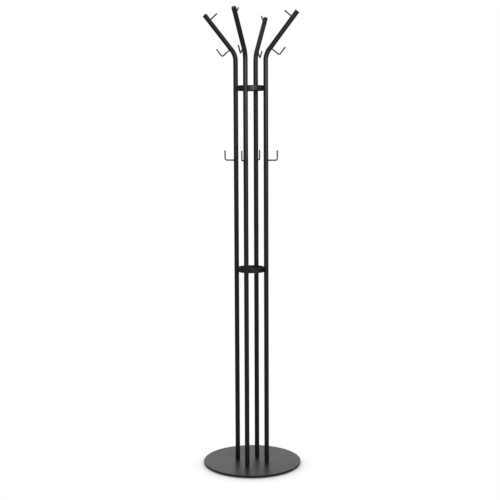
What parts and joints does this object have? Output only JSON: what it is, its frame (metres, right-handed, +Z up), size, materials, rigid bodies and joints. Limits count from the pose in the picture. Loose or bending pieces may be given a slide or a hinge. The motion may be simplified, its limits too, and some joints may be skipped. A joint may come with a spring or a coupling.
{
  "type": "standing coat rack",
  "caption": "Free-standing coat rack of bent round steel tubes on a flat round base plate, with wire hooks, wire pegs and two spacer rings.",
  "frame": {"origin": "centre of the footprint, on the floor", "axes": "+Z up along the rack's axis; the uprights stand on +X, +Y, -X and -Y and their arms lean outward along the same axes"},
  "size_m": [0.403, 0.403, 1.8401],
  "materials": {
    "base_powder_coat": "fine-textured satin black powder coat on steel plate",
    "tube_powder_coat": "fine-textured satin black powder coat on steel tube",
    "ring_powder_coat": "satin black powder coat on steel",
    "rod_powder_coat": "satin black powder coat on steel wire",
    "cap_plastic": "matt black moulded plastic",
    "insert_zinc": "bright zinc-plated turned steel",
    "screw_black": "black oxide steel",
    "glide_rubber": "matt black rubber"
  },
  "bodies": {
    "root": {"base_plate": "base_powder_coat", "lower_ring": "ring_powder_coat", "upper_ring": "ring_powder_coat", "upright_1": "tube_powder_coat", "end_cap_1": "cap_plastic", "top_peg_1": "rod_powder_coat", "foot_insert_1": "insert_zinc", "base_screw_1": "screw_black", "lower_hook_1": "rod_powder_coat", "upper_hook_1": "rod_powder_coat", "lower_ring_screw_1": "screw_black", "lower_ring_bush_1": "insert_zinc", "upper_ring_screw_1": "screw_black", "upper_ring_bush_1": "insert_zinc", "upright_2": "tube_powder_coat", "end_cap_2": "cap_plastic", "top_peg_2": "rod_powder_coat", "foot_insert_2": "insert_zinc", "base_screw_2": "screw_black", "lower_hook_2": "rod_powder_coat", "upper_hook_2": "rod_powder_coat", "lower_ring_screw_2": "screw_black", "lower_ring_bush_2": "insert_zinc", "upper_ring_screw_2": "screw_black", "upper_ring_bush_2": "insert_zinc", "upright_3": "tube_powder_coat", "end_cap_3": "cap_plastic", "top_peg_3": "rod_powder_coat", "foot_insert_3": "insert_zinc", "base_screw_3": "screw_black", "lower_hook_3": "rod_powder_coat", "upper_hook_3": "rod_powder_coat", "lower_ring_screw_3": "screw_black", "lower_ring_bush_3": "insert_zinc", "upper_ring_screw_3": "screw_black", "upper_ring_bush_3": "insert_zinc", "upright_4": "tube_powder_coat", "end_cap_4": "cap_plastic", "top_peg_4": "rod_powder_coat", "foot_insert_4": "insert_zinc", "base_screw_4": "screw_black", "lower_hook_4": "rod_powder_coat", "upper_hook_4": "rod_powder_coat", "lower_ring_screw_4": "screw_black", "lower_ring_bush_4": "insert_zinc", "upper_ring_screw_4": "screw_black", "upper_ring_bush_4": "insert_zinc", "glide_1": "glide_rubber", "glide_2": "glide_rubber", "glide_3": "glide_rubber", "glide_4": "glide_rubber", "glide_5": "glide_rubber", "glide_6": "glide_rubber"}
  },
  "joints": []
}
